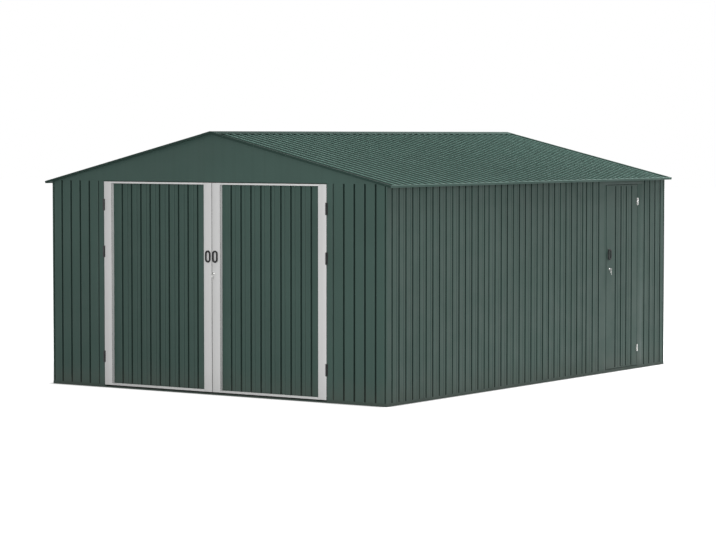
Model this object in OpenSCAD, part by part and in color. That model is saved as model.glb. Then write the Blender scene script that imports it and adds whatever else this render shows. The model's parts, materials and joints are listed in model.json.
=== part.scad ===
// Metal garage: a gable-roofed steel kit building with ribbed walls, a pair of framed front
// doors and a side door. Front faces -Y, the side door is in the +X wall, the ground is z = 0.

/* [Building] */
// Width over the side wall sheets
building_w = 3742; // [3200:1:5000]
// Length over the gable wall sheets
building_l = 5044; // [3900:1:7000]
// Height of the ridge above the ground
ridge_h = 2350; // [2300:1:3000]
// Height of the roof's lower edge above the ground
eave_h = 1890; // [1890:1:2100]
// Roof overhang past each side wall
eave_overhang = 65; // [60:1:200]
// Roof overhang past each gable
verge_overhang = 32; // [30:1:150]

/* [Ribbed sheets] */
// Thickness of the sheets
sheet_t = 1; // [0.6:0.1:1.5]
// Width of a groove at its mouth
groove_w = 20; // [14:1:30]
// Width of a groove at its floor
groove_floor = 9; // [4:1:12]
// Depth of a groove
groove_depth = 14; // [8:1:18]
// Depth of the shallow groove where two sheets lap
lap_depth = 5; // [2:0.5:8]
// Width of the stiffening bead between two grooves
bead_w = 14; // [8:1:20]
// Depth of the stiffening bead
bead_depth = 1.5; // [0.5:0.1:2.5]
// Groove spacing on the side walls
side_pitch = 107; // [90:1:150]
// Groove spacing on the front and rear walls
front_pitch = 110; // [90:1:150]
// Groove spacing on the roof
roof_pitch = 108; // [90:1:150]
// Groove spacing on the door panels
door_pitch = 109; // [90:1:120]

/* [Frame] */
// Thickness of the folded frame sections
frame_t = 1.5; // [1:0.1:2.5]
// Height of the base rail's lips
base_lip_h = 28; // [20:1:40]
// Inward reach of the base rail
base_reach = 60; // [58:1:90]
// Height of the lowered base rail in the front doorway
threshold_h = 10; // [3:1:15]
// Width of the square corner posts
corner_post_w = 40; // [25:1:40]
// Width of the top rails of the side walls
top_rail_w = 40; // [30:1:60]
// Height of the mid rails' cross-section
mid_rail_h = 40; // [25:1:60]
// Depth of the mid rails' cross-section
mid_rail_w = 25; // [15:1:35]
// Height of the mid rails above the ground
mid_rail_z = 930; // [600:1:1200]
// Depth of a purlin's cross-section
purlin_h = 40; // [25:1:50]
// Depth of a rafter's cross-section
rafter_h = 40; // [25:1:60]
// Number of roof trusses
truss_count = 3; // [1:1:6]

/* [Front doors] */
// Width of the front doorway
front_opening_w = 2500; // [2000:1:2700]
// Height of the front doorway
front_opening_h = 1898; // [1700:1:1900]
// Width of the door frame's stiles
stile_w = 86; // [60:1:110]
// Height of the door frame's top and bottom rails
leaf_rail_h = 16; // [14:1:60]
// Depth of the door frame, which sets the panel back
leaf_depth = 36; // [24:1:40]
// Number of grooves in a front door panel
front_door_grooves = 9; // [5:1:9]

/* [Side door] */
// Distance from the side doorway to the rear of the building
side_opening_rear = 572; // [200:1:2500]
// Width of the side doorway
side_opening_w = 642; // [567:1:760]
// Height of the side doorway
side_opening_h = 1833; // [1600:1:1834]
// Number of grooves in the side door panel
side_door_grooves = 4; // [2:1:5]

/* [Handles] */
// Height of a pull handle
handle_h = 108; // [80:1:160]
// Width of a pull handle
handle_w = 58; // [36:1:62]
// Height of the front handles above the ground
front_handle_z = 1235; // [900:1:1400]
// Height of the side handle above the ground
side_handle_z = 1154; // [900:1:1400]

/* [Hidden] */
$fn = 48;

// Clearances
door_gap = 5;          // round a leaf, at the jambs
meeting_gap = 8;       // between the two front leaves
head_gap = 6;          // above a leaf
side_head_gap = 5;
side_free_gap = 12;    // beside the side leaf's free edge
node_gap = 1;          // between solids that share a node
seat = 0.1;            // under a sloping face that bears on another
cut = 1;               // how far a cutter passes its face
leaf_proud = 3;        // how far the front leaves stand proud of the wall
front_leaf_z = 24;
side_leaf_z = base_lip_h + 6;

// Grooves
corner_land_side = 86;
corner_land_front = 115;
corner_groove_in = 16;  // from a corner to the groove beside it
rear_land = 86;
jamb_land = 47;
corner_groove_w = 12;
corner_groove_floor = 6;
min_land = 40;         // flat left between the last groove and a sheet's end
bead_place = 0.6;      // share of the spacing from a groove to its bead
bead_floor_share = 0.45;
sheet_depth = groove_depth + sheet_t;

// Roof
half_span = building_w / 2 + eave_overhang;
cap_layer = 2 * (sheet_t + seat);  // verge trim and ridge cap over the roof sheets
slope = atan((ridge_h - eave_h) / half_span);
apex_h = ridge_h - cap_layer / cos(slope);
slope_l = half_span / cos(slope);
end_rib_in = groove_w / 2 + 4;  // from a verge to the rib beside it
ridge_setback = 8;     // from the ridge line to the sheets' upper ends
roof_half_l = building_l / 2 + verge_overhang;
cap_wing = 90;
trim_drop = 20;
trim_wing = 20;
eave_wing = 12;
wall_top = roof_z(building_w / 2, sheet_depth) - 1;
gable_lap = 18;        // how far the wall sheets run up behind the gable plates
rear_rail_h = 40;
header_h = 20;
purlin_w = 30;
ridge_beam_w = 40;
ridge_beam_drop = 105;
rafter_w = 25;
purlin_places = [0.36, 0.68];
tie_lift = 5;

// Base rail
anchor_r = 5;
anchor_in = 37;        // from the wall face to the anchor holes
anchor_end = 300;      // from the building's end to the first side anchor
side_anchors = [-1, -1 / 3, 1 / 3, 1];
rear_anchor_x = 900;
front_anchor_x = 1560;

// Posts
side_rail_half = building_l / 2 - sheet_depth - corner_post_w;
door_post_w = 40;
side_post_w = 30;
side_near_strip = side_post_w;
side_far_strip = 100;

// Front leaves
front_leaf_w = (front_opening_w - meeting_gap) / 2 - door_gap;
front_leaf_h = front_opening_h - head_gap - front_leaf_z;
lip = 12;              // return lip that carries the panel
crease_y = 3;          // from the stile's face back to its crease
crease_w = 9;
crease_d = 6;
panel_lap = 10;
panel_inset_z = 6;

// Side leaf
side_leaf_w = side_opening_w - door_gap - side_free_gap;
side_leaf_h = side_opening_h - side_head_gap - side_leaf_z;
side_leaf_depth = 31;
side_stile_w = 60;
side_groove_start = 113;
side_cap_h = 10;
side_y1 = building_l / 2 - side_opening_rear;
side_y0 = side_y1 - side_opening_w;

// Hinges
hinge_stand = 6;       // from a leaf's face out to the hinge pin's axis
barrel_r = 5.5;
pin_r = 2.5;
pin_clear = 0.3;
knuckle_gap = 1;
hinge_plate_t = 2;
hinge_half_w = 12;
front_hinge_l = 105;
side_hinge_l = 68;
front_hinge_z = [208, 1174, 1603];
side_hinge_z = [138, 1592];

// Handles and locks
handle_bar = 14;
handle_t = 9;
handle_stand = 6;
handle_post_r = 4;
front_handle_in = 36;  // from a leaf's free edge to the handle's centre line
side_handle_in = 52;
front_lock_in = 13;
side_lock_in = 60;
front_lock_z = 1085;
side_lock_z = 1012;
lock_r = 11;
lock_t = 3;
plug_r = 8;
plug_t = 4;
key_t = 2;
key_blade_h = 8;
key_blade_l = 8;
key_bow_r = 10;

// Colours
green = [0.24, 0.33, 0.30];
white = [0.85, 0.86, 0.86];
black = [0.08, 0.08, 0.08];
silver = [0.75, 0.76, 0.76];

// Height of the plane that lies a given depth under the roof's top face, at x from the ridge
function roof_z(x, depth) = apex_h - x * tan(slope) - depth / cos(slope);
function roof_x(z, depth) = (apex_h - depth / cos(slope) - z) / tan(slope);

// A groove is [place along the sheet, half mouth, half floor, depth]
function groove(u, depth) = [u, groove_w / 2, groove_floor / 2, depth];
function corner_groove(u) = [u, corner_groove_w / 2, corner_groove_floor / 2, groove_depth];
function bead(u) = [u, bead_w / 2, bead_w * bead_floor_share / 2, bead_depth];

// A run of evenly spaced grooves with a bead after each, cut off at the limit.
// Every lap-th groove is the shallow one of a sheet lap, counted from lap_at.
function run(start, pitch, count, limit, lap, lap_at, beads = true) =
    [for (i = [0 : 1 : count - 1]) let (u = start + i * pitch) if (u < limit)
        each [
            groove(u, i % lap == lap_at ? lap_depth : groove_depth),
            if (beads && i < count - 1 && u + pitch < limit) bead(u + bead_place * pitch)
        ]];

// Grooves centred on a sheet of the given length
function centred(length, pitch, count, lap, beads = true) =
    run((length - (count - 1) * pitch) / 2, pitch, count, length, lap, lap - 1, beads);

function fit_count(length, land, pitch) = floor((length - 2 * land) / pitch) + 1;

// Side wall: sheets five grooves wide, then four, then a closing run
side_run_a = 15;
side_run_b = 17;
run_b_start = corner_land_side + (side_run_a - 1) * side_pitch + 0.72 * side_pitch;
run_c_start = run_b_start + (side_run_b - 1) * side_pitch + 0.70 * side_pitch;
function side_grooves(length, end_pitch, closed) =
    let (limit = length - min_land)
    concat(
        run(corner_land_side, side_pitch, side_run_a, limit, 5, 4),
        run(run_b_start, side_pitch, side_run_b, limit, 4, 0),
        run(run_c_start, end_pitch, ceil(length / end_pitch), limit, 5, 4),
        closed ? [corner_groove(length - corner_groove_in)] : []
    );

function back_shift(g) =
    let (k = (g[1] - g[2]) / g[3]) sheet_t * (sqrt(1 + k * k) - k);
function face_points(g) =
    [[g[0] - g[1], 0], [g[0] - g[2], g[3]], [g[0] + g[2], g[3]], [g[0] + g[1], 0]];
function back_points(g) =
    let (e = back_shift(g), floor_v = g[3] + sheet_t)
    [[g[0] + g[1] + e, sheet_t], [g[0] + g[2] + e, floor_v],
     [g[0] - g[2] - e, floor_v], [g[0] - g[1] - e, sheet_t]];

// Outline of a ribbed sheet in plan: x along it, y into the building
function sheet_outline(length, grooves) =
    concat(
        [[0, 0]],
        [for (g = grooves) each face_points(g)],
        [[length, 0], [length, sheet_t]],
        [for (i = [len(grooves) - 1 : -1 : 0]) each back_points(grooves[i])],
        [[0, sheet_t]]
    );

module ribbed(length, grooves, height) {
    linear_extrude(height) polygon(sheet_outline(length, grooves));
}

// Wall frames: x along the wall, y into the building, z up
module on_front() {
    translate([0, -building_l / 2, 0]) children();
}
module on_rear() {
    translate([0, building_l / 2, 0]) rotate([0, 0, 180]) children();
}
module on_right() {
    translate([building_w / 2, 0, 0]) rotate([0, 0, 90]) children();
}
module on_left() {
    mirror([1, 0, 0]) on_right() children();
}
module both_sides() {
    children();
    mirror([1, 0, 0]) children();
}

// Roof frame, right side: x down the slope from the ridge, y along it, z out of the roof
module on_roof() {
    translate([0, 0, apex_h]) rotate([0, slope, 0]) children();
}

// Carries a (y, z) outline along x
module along(x0, x1) {
    translate([x0, 0, 0]) rotate([90, 0, 90]) linear_extrude(x1 - x0) children();
}

// Carries an (x, z) outline along y
module across(y0, y1) {
    translate([0, y1, 0]) rotate([90, 0, 0]) linear_extrude(y1 - y0) children();
}

// Outline of everything under the roof sheets
module under_roof() {
    half = building_w;
    depth = sheet_depth + seat;
    polygon([[-half, 0], [half, 0], [half, roof_z(half, depth)], [0, roof_z(0, depth)],
             [-half, roof_z(half, depth)]]);
}

// C section: web at y = 0, flanges running to y = w, from z = 0 to h
module c_section(w, h) {
    difference() {
        square([w, h]);
        translate([frame_t, frame_t]) square([w, h - 2 * frame_t]);
    }
}

// ---- Base frame ----

module base_outline() {
    difference() {
        translate([-frame_t, 0]) square([base_reach + frame_t, base_lip_h]);
        translate([0, frame_t]) square([base_reach - frame_t, base_lip_h]);
    }
}

// A U-shaped base rail with mitred ends; holes are places along it
module base_rail(length, holes) {
    half = length / 2;
    difference() {
        intersection() {
            along(-half - frame_t, half + frame_t) base_outline();
            linear_extrude(base_lip_h) polygon([
                [-half - frame_t, -frame_t], [half + frame_t, -frame_t],
                [half - base_reach, base_reach], [base_reach - half, base_reach]
            ]);
        }
        for (x = holes)
            translate([x, anchor_in, -cut]) cylinder(r = anchor_r, h = frame_t + 2 * cut);
    }
}

module base_rail_front() {
    color(green) on_front() difference() {
        base_rail(building_w, [-front_anchor_x, front_anchor_x]);
        translate([-front_opening_w / 2, -frame_t - cut, threshold_h])
            cube([front_opening_w, base_reach + frame_t + 2 * cut, base_lip_h]);
    }
}

module base_rail_rear() {
    color(green) on_rear() base_rail(building_w, [-rear_anchor_x, rear_anchor_x]);
}

module side_base_rail() {
    base_rail(building_l, [for (s = side_anchors) s * (building_l / 2 - anchor_end)]);
}

module base_rail_left() {
    color(green) on_left() side_base_rail();
}

module base_rail_right() {
    color(green) on_right() side_base_rail();
}

// ---- Posts and rails ----

// Square tube in plan, from the origin
module tube_outline(width) {
    difference() {
        square(width);
        translate([frame_t, frame_t]) square(width - 2 * frame_t);
    }
}

// Stands behind the sheets' grooves on both sides of a corner
module corner_post() {
    place = [building_w / 2 - sheet_depth - corner_post_w,
             building_l / 2 - sheet_depth - corner_post_w, frame_t];
    translate(place) linear_extrude(wall_top - frame_t) tube_outline(corner_post_w);
}

module corner_posts() {
    color(green) both_sides() {
        corner_post();
        mirror([0, 1, 0]) corner_post();
    }
}

module front_door_posts() {
    color(green) both_sides() on_front()
        translate([front_opening_w / 2, sheet_t, frame_t])
            linear_extrude(front_opening_h - frame_t) tube_outline(door_post_w);
}

// Side door jamb in plan: a face strip with a box post behind its doorway edge
module side_jamb(strip) {
    difference() {
        union() {
            square([strip, sheet_t]);
            square([side_post_w, side_post_w]);
        }
        translate([frame_t, frame_t])
            square([side_post_w - 2 * frame_t, side_post_w - 2 * frame_t]);
    }
}

module side_door_posts() {
    jamb_h = side_opening_h - base_lip_h;
    color(green) on_right() translate([0, 0, base_lip_h]) {
        translate([side_y0, 0, 0]) mirror([1, 0, 0])
            linear_extrude(jamb_h) side_jamb(side_near_strip);
        translate([side_y1, 0, 0]) linear_extrude(jamb_h) side_jamb(side_far_strip);
    }
}

// Header over the front doors: it lies on the door posts and stops under the roof
module front_header() {
    half = min(building_w / 2 - sheet_depth - corner_post_w,
               roof_x(front_opening_h + header_h, sheet_depth + seat) - node_gap);
    color(green) on_front() along(-half, half)
        translate([sheet_depth, front_opening_h]) c_section(corner_post_w, header_h);
}

// Inverted channel whose top follows the roof
module side_top_rail() {
    y0 = sheet_depth;
    y1 = sheet_depth + top_rail_w;
    z0 = side_opening_h;
    top = sheet_depth + seat;
    x_out = building_w / 2;
    along(-side_rail_half, side_rail_half) difference() {
        polygon([
            [y0, z0], [y1, z0],
            [y1, roof_z(x_out - y1, top)], [y0, roof_z(x_out - y0, top)]
        ]);
        polygon([
            [y0 + frame_t, z0 - cut], [y1 - frame_t, z0 - cut],
            [y1 - frame_t, roof_z(x_out - y1, top + frame_t)],
            [y0 + frame_t, roof_z(x_out - y0, top + frame_t)]
        ]);
    }
}

module mid_rail(x0, x1) {
    along(x0, x1) translate([sheet_depth, mid_rail_z]) c_section(mid_rail_w, mid_rail_h);
}

module wall_rails() {
    end_in = building_w / 2 - sheet_depth - corner_post_w;
    color(green) {
        both_sides() on_right() side_top_rail();
        on_left() mid_rail(-side_rail_half, side_rail_half);
        on_right() {
            mid_rail(-side_rail_half, side_y0 - side_post_w);
            mid_rail(side_y1 + side_post_w, side_rail_half);
        }
        both_sides() on_front() mid_rail(front_opening_w / 2 + door_post_w, end_in);
        on_rear() mid_rail(-end_in, end_in);
        on_rear() along(-end_in, end_in)
            translate([sheet_depth, wall_top - rear_rail_h])
                c_section(mid_rail_w, rear_rail_h);
    }
}

// ---- Walls ----

// A front or rear sheet runs up behind the gable plate and is cut off under the roof
module gable_sheet(length, grooves) {
    intersection() {
        translate([0, 0, frame_t])
            ribbed(length, grooves, front_opening_h + gable_lap - frame_t);
        translate([building_w / 2 - sheet_t, 0, 0])
            across(-cut, sheet_depth + cut) under_roof();
    }
}

module front_wall() {
    length = building_w / 2 - sheet_t - front_opening_w / 2;
    start = corner_land_front - sheet_t;
    on_front() mirror([1, 0, 0]) translate([sheet_t - building_w / 2, 0, 0])
        gable_sheet(length,
                    concat([corner_groove(corner_groove_in - sheet_t)],
                           run(start, front_pitch, ceil(length / front_pitch),
                               length - min_land, 5, 4, false)));
}

module front_wall_right() {
    color(green) front_wall();
}

module front_wall_left() {
    color(green) mirror([1, 0, 0]) front_wall();
}

module left_wall() {
    color(green) on_left() translate([-building_l / 2, 0, frame_t])
        ribbed(building_l, side_grooves(building_l, side_pitch, true), wall_top - frame_t);
}

module right_wall_front() {
    length = side_y0 - side_near_strip + building_l / 2;
    color(green) on_right() translate([-building_l / 2, 0, frame_t])
        ribbed(length, side_grooves(length, 1.13 * side_pitch, false), wall_top - frame_t);
}

module right_wall_rear() {
    start = side_y1 + side_far_strip;
    length = building_l / 2 - start;
    color(green) on_right() translate([start, 0, frame_t])
        ribbed(length,
               concat(run(jamb_land, 1.04 * side_pitch, ceil(length / side_pitch),
                          length - min_land, 5, 4),
                      [corner_groove(length - corner_groove_in)]),
               wall_top - frame_t);
}

module side_door_header() {
    x0 = side_y0 - side_near_strip;
    width = side_near_strip + side_opening_w + side_far_strip;
    color(green) on_right() translate([x0, 0, side_opening_h])
        cube([width, sheet_t, wall_top - side_opening_h]);
}

// Its corner grooves stand clear of those in the side walls
module rear_wall() {
    length = building_w - 2 * sheet_t;
    count = fit_count(length, rear_land, front_pitch);
    end_in = sheet_depth + corner_groove_w / 2 + node_gap - sheet_t;
    color(green) on_rear() translate([-length / 2, 0, 0])
        gable_sheet(length,
                    concat([corner_groove(end_in)], centred(length, front_pitch, count, 5),
                           [corner_groove(length - end_in)]));
}

module gable_plate() {
    across(-sheet_t, 0) intersection() {
        translate([-building_w / 2, front_opening_h]) square([building_w, ridge_h]);
        under_roof();
    }
}

// The front plate's lower edge is folded inwards over the doorway
module front_gable() {
    color(green) on_front() {
        gable_plate();
        translate([-front_opening_w / 2, -sheet_t, front_opening_h])
            cube([front_opening_w, sheet_depth, sheet_t]);
    }
}

module rear_gable() {
    color(green) on_rear() gable_plate();
}

// ---- Roof frame ----

module purlin(place) {
    on_roof() translate([place * slope_l, 0, -sheet_depth - seat - purlin_h])
        across(-building_l / 2, building_l / 2) c_section(purlin_w, purlin_h);
}

// Ridge beam: an inverted channel with a roof-shaped top
module ridge_beam() {
    half = ridge_beam_w / 2;
    z0 = apex_h - ridge_beam_drop;
    top = sheet_depth + seat;
    across(-building_l / 2, building_l / 2) difference() {
        polygon([
            [-half, z0], [half, z0], [half, roof_z(half, top)],
            [0, roof_z(0, top)], [-half, roof_z(half, top)]
        ]);
        polygon([
            [frame_t - half, z0 - cut], [half - frame_t, z0 - cut],
            [half - frame_t, roof_z(half, top + frame_t)],
            [0, roof_z(0, top + frame_t)],
            [frame_t - half, roof_z(half, top + frame_t)]
        ]);
    }
}

module purlins() {
    color(silver) {
        ridge_beam();
        both_sides() for (p = purlin_places) purlin(p);
    }
}

function truss_y(i) = (i + 1) * building_l / (truss_count + 1) - building_l / 2;

// Rafter: a channel with its web towards the front
module rafter() {
    x0 = ridge_beam_w / 2;
    x1 = building_w / 2 - sheet_depth - top_rail_w;
    top = sheet_depth + purlin_h + 2 * seat;
    difference() {
        across(0, rafter_w) polygon([
            [x0, roof_z(x0, top)], [x1, roof_z(x1, top)],
            [x1, roof_z(x1, top + rafter_h)], [x0, roof_z(x0, top + rafter_h)]
        ]);
        across(frame_t, rafter_w + cut) polygon([
            [x0 - cut, roof_z(x0 - cut, top + frame_t)],
            [x1 + cut, roof_z(x1 + cut, top + frame_t)],
            [x1 + cut, roof_z(x1 + cut, top + rafter_h - frame_t)],
            [x0 - cut, roof_z(x0 - cut, top + rafter_h - frame_t)]
        ]);
    }
}

module rafters() {
    color(silver) for (i = [0 : truss_count - 1])
        translate([0, truss_y(i), 0]) both_sides() rafter();
}

// Tie beams run back to back with the rafters, between the side top rails
module tie_beams() {
    half = building_w / 2 - sheet_depth - top_rail_w;
    color(silver) for (i = [0 : truss_count - 1])
        translate([0, truss_y(i), side_opening_h + tie_lift]) mirror([0, 1, 0])
            along(-half, half) c_section(rafter_w, rafter_h);
}

// ---- Roof covering ----

// A roof sheet's ribs stand up from it, and one more rib carries the trim at each verge
module roof_sheet() {
    length = 2 * roof_half_l;
    count = fit_count(building_l, min_land, roof_pitch);
    ribs = concat([groove(end_rib_in, groove_depth)],
                  centred(length, roof_pitch, count, count + 1),
                  [groove(length - end_rib_in, groove_depth)]);
    on_roof() translate([ridge_setback, -roof_half_l, -sheet_depth])
        rotate([90, 0, 90]) linear_extrude(slope_l - ridge_setback)
            polygon(sheet_outline(length, ribs));
}

module roof_right() {
    color(green) roof_sheet();
}

module roof_left() {
    color(green) mirror([1, 0, 0]) roof_sheet();
}

// The cap lies on the verge trims, one sheet above the roof sheets
module ridge_cap() {
    x1 = cap_wing * cos(slope);
    color(green) across(-roof_half_l - sheet_t, roof_half_l + sheet_t) polygon([
        [-x1, roof_z(x1, sheet_t - cap_layer)], [-x1, roof_z(x1, -cap_layer)],
        [0, roof_z(0, -cap_layer)], [x1, roof_z(x1, -cap_layer)],
        [x1, roof_z(x1, sheet_t - cap_layer)], [0, roof_z(0, sheet_t - cap_layer)]
    ]);
}

module eave_trim() {
    on_roof() translate([0, 0, seat]) {
        translate([slope_l + seat, -roof_half_l, -trim_drop])
            cube([sheet_t, 2 * roof_half_l, trim_drop + sheet_t]);
        translate([slope_l + seat - eave_wing, trim_wing - roof_half_l, 0])
            cube([eave_wing, 2 * (roof_half_l - trim_wing), sheet_t]);
    }
}

module eave_trims() {
    color(green) both_sides() eave_trim();
}

// Verge trim: an angle down the slope with its leg outside the sheets' edge
module verge_trim() {
    intersection() {
        on_roof() translate([0, 0, seat]) {
            translate([-trim_drop, -roof_half_l - sheet_t, -trim_drop])
                cube([slope_l + trim_drop, sheet_t, trim_drop + sheet_t]);
            translate([-trim_drop, -roof_half_l, 0])
                cube([slope_l + trim_drop, trim_wing, sheet_t]);
        }
        translate([node_gap / 2, -building_l, 0]) cube([building_w, building_l, 2 * ridge_h]);
    }
}

module verge_trims() {
    color(green) both_sides() {
        verge_trim();
        mirror([0, 1, 0]) verge_trim();
    }
}

// ---- Hinges: z along the pin, x towards the leaf, y back to the leaf's face ----

module knuckle(z0, z1) {
    translate([0, 0, z0]) cylinder(r = barrel_r, h = z1 - z0);
}

// The plate stops clear of the other half's knuckles and reaches its own by tongues
module hinge_plate(length, tongues, back) {
    clear_x = barrel_r + knuckle_gap;
    y0 = hinge_stand - hinge_plate_t;
    translate([clear_x, y0, 0]) cube([hinge_half_w - clear_x, back - y0, length]);
    for (t = tongues) translate([0, y0, t[0]])
        cube([clear_x, hinge_plate_t, t[1] - t[0]]);
}

function third(length, i) = i * length / 3;

// Fixed half: two knuckles, the pin and the plate on the jamb, which runs back to it
module hinge_fixed(length, back) {
    ends = [[0, third(length, 1) - knuckle_gap / 2], [third(length, 2) + knuckle_gap / 2, length]];
    for (e = ends) knuckle(e[0], e[1]);
    cylinder(r = pin_r, h = length);
    mirror([1, 0, 0]) hinge_plate(length, ends, back);
}

// Moving half: the middle knuckle, bored for the pin, and the plate on the leaf
module hinge_moving(length) {
    mid = [third(length, 1) + knuckle_gap / 2, third(length, 2) - knuckle_gap / 2];
    difference() {
        union() {
            knuckle(mid[0], mid[1]);
            hinge_plate(length, [mid], hinge_stand);
        }
        translate([0, 0, -cut]) cylinder(r = pin_r + pin_clear, h = length + 2 * cut);
    }
}

// ---- Leaves: x from the hinge edge, y back from the face, z up from the bottom edge ----

module front_left_leaf() {
    on_front() translate([door_gap - front_opening_w / 2, -leaf_proud, front_leaf_z]) children();
}
module front_right_leaf() {
    mirror([1, 0, 0]) front_left_leaf() children();
}
module side_leaf() {
    on_right() translate([side_y1 - door_gap, 0, side_leaf_z]) mirror([1, 0, 0]) children();
}

// The hinge pin stands in the middle of the gap at the jamb
module at_hinges(heights) {
    for (z = heights) translate([-door_gap / 2, -hinge_stand, z]) children();
}

// Stile in plan: a folded channel with return lips at the back and a crease in its panel side
module stile_outline() {
    difference() {
        square([stile_w, leaf_depth]);
        translate([stile_w - crease_d, crease_y]) square([crease_d + cut, crease_w]);
        difference() {
            translate([frame_t, frame_t])
                square([stile_w - 2 * frame_t, leaf_depth - 2 * frame_t]);
            translate([stile_w - crease_d - frame_t, crease_y - frame_t])
                square([crease_d + frame_t, crease_w + 2 * frame_t]);
        }
        translate([lip, leaf_depth / 2]) square([stile_w - 2 * lip, leaf_depth]);
    }
}

module leaf_stiles() {
    color(white) linear_extrude(front_leaf_h) {
        stile_outline();
        translate([front_leaf_w, 0]) mirror([1, 0]) stile_outline();
    }
}

// Bottom rail: a channel open upwards, whose back lip carries the panel's edge
module leaf_rail() {
    along(stile_w, front_leaf_w - stile_w) difference() {
        square([leaf_depth, leaf_rail_h]);
        translate([frame_t, frame_t]) square([leaf_depth - 2 * frame_t, leaf_rail_h]);
    }
}

module leaf_rails() {
    color(white) {
        leaf_rail();
        translate([0, 0, front_leaf_h]) mirror([0, 0, 1]) leaf_rail();
    }
}

module leaf_panel() {
    x0 = stile_w - panel_lap;
    length = front_leaf_w - 2 * x0;
    color(green) translate([x0, leaf_depth, panel_inset_z])
        ribbed(length, centred(length, door_pitch, front_door_grooves, 20),
               front_leaf_h - 2 * panel_inset_z);
}

module stadium(w, h) {
    square([w, h - w], center = true);
    for (s = [-1, 1]) translate([0, s * (h - w) / 2]) circle(d = w);
}

// A flat ring pull on two posts, centred on its own middle
module pull_handle() {
    reach = handle_stand + handle_t;
    rotate([90, 0, 0]) {
        translate([0, 0, handle_stand]) linear_extrude(handle_t) difference() {
            stadium(handle_w, handle_h);
            stadium(handle_w - 2 * handle_bar, handle_h - 2 * handle_bar);
        }
        for (s = [-1, 1]) translate([0, s * (handle_h - handle_bar) / 2, 0])
            cylinder(r = handle_post_r, h = reach - handle_t / 2);
    }
}

// Round lock with its key in it
module cam_lock() {
    rotate([90, 0, 0]) {
        cylinder(r = lock_r, h = lock_t);
        cylinder(r = plug_r, h = lock_t + plug_t);
        translate([-key_t / 2, -key_blade_h / 2, lock_t + plug_t / 2])
            cube([key_t, key_blade_h, key_blade_l + plug_t / 2]);
    }
    translate([-key_t / 2, -lock_t - plug_t - key_bow_r, 0])
        rotate([0, 90, 0]) cylinder(r = key_bow_r, h = key_t);
}

module front_handle() {
    color(black) translate([front_leaf_w - front_handle_in, 0, front_handle_z - front_leaf_z])
        pull_handle();
}

module left_leaf_stiles() { front_left_leaf() leaf_stiles(); }
module left_leaf_rails() { front_left_leaf() leaf_rails(); }
module left_leaf_panel() { front_left_leaf() leaf_panel(); }
module left_leaf_handle() { front_left_leaf() front_handle(); }
module left_leaf_hinges() {
    color(black) front_left_leaf() at_hinges(front_hinge_z) hinge_moving(front_hinge_l);
}

module right_leaf_stiles() { front_right_leaf() leaf_stiles(); }
module right_leaf_rails() { front_right_leaf() leaf_rails(); }
module right_leaf_panel() { front_right_leaf() leaf_panel(); }
module right_leaf_handle() { front_right_leaf() front_handle(); }
module right_leaf_hinges() {
    color(black) front_right_leaf() at_hinges(front_hinge_z) hinge_moving(front_hinge_l);
}
module right_leaf_lock() {
    color(silver) front_right_leaf()
        translate([front_leaf_w - front_lock_in, 0, front_lock_z - front_leaf_z]) cam_lock();
}

module front_hinge_plates() {
    back = hinge_stand + leaf_proud;
    color(black) {
        front_left_leaf() at_hinges(front_hinge_z) hinge_fixed(front_hinge_l, back);
        front_right_leaf() at_hinges(front_hinge_z) hinge_fixed(front_hinge_l, back);
    }
}

module side_leaf_panel() {
    panel_h = side_leaf_h - 2 * frame_t;
    color(green) side_leaf() translate([0, 0, frame_t])
        ribbed(side_leaf_w,
               run(side_groove_start, door_pitch, side_door_grooves, side_leaf_w, 20, 19),
               panel_h);
}

module side_leaf_stiles() {
    depth = side_leaf_depth - frame_t - sheet_t;
    color(green) side_leaf() for (x = [0, side_leaf_w - side_stile_w])
        translate([x, sheet_t, frame_t]) linear_extrude(side_leaf_h - 2 * frame_t) difference() {
            square([side_stile_w, depth]);
            translate([frame_t, frame_t])
                square([side_stile_w - 2 * frame_t, depth - 2 * frame_t]);
        }
}

// Cap channel over the panel's end
module side_leaf_rail() {
    along(0, side_leaf_w) difference() {
        translate([-frame_t, 0]) square([side_leaf_depth + frame_t, side_cap_h]);
        translate([0, frame_t]) square([side_leaf_depth - frame_t, side_cap_h]);
    }
}

module side_leaf_rails() {
    color(green) side_leaf() {
        side_leaf_rail();
        translate([0, 0, side_leaf_h]) mirror([0, 0, 1]) side_leaf_rail();
    }
}

module side_leaf_handle() {
    color(black) side_leaf()
        translate([side_leaf_w - side_handle_in, 0, side_handle_z - side_leaf_z]) pull_handle();
}

module side_leaf_lock() {
    color(silver) side_leaf()
        translate([side_leaf_w - side_lock_in, 0, side_lock_z - side_leaf_z]) cam_lock();
}

module side_leaf_hinges() {
    color(silver) side_leaf() at_hinges(side_hinge_z) hinge_moving(side_hinge_l);
}

module side_hinge_plates() {
    color(silver) side_leaf() at_hinges(side_hinge_z) hinge_fixed(side_hinge_l, hinge_stand);
}

base_rail_front();
base_rail_rear();
base_rail_left();
base_rail_right();
corner_posts();
front_door_posts();
side_door_posts();
front_header();
wall_rails();
front_wall_left();
front_wall_right();
left_wall();
right_wall_front();
right_wall_rear();
side_door_header();
rear_wall();
front_gable();
rear_gable();
purlins();
rafters();
tie_beams();
roof_left();
roof_right();
ridge_cap();
eave_trims();
verge_trims();
front_hinge_plates();
side_hinge_plates();
left_leaf_stiles();
left_leaf_rails();
left_leaf_panel();
left_leaf_handle();
left_leaf_hinges();
right_leaf_stiles();
right_leaf_rails();
right_leaf_panel();
right_leaf_handle();
right_leaf_hinges();
right_leaf_lock();
side_leaf_stiles();
side_leaf_rails();
side_leaf_panel();
side_leaf_handle();
side_leaf_hinges();
side_leaf_lock();
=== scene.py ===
"""Looks of a metal garage: coated ribbed sheets with rolled folds, softened frames and trims,
screws, ring pulls, locks and keys, on a plain white studio floor."""

import json
import logging
import math
from dataclasses import dataclass, field
from enum import Enum

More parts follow.
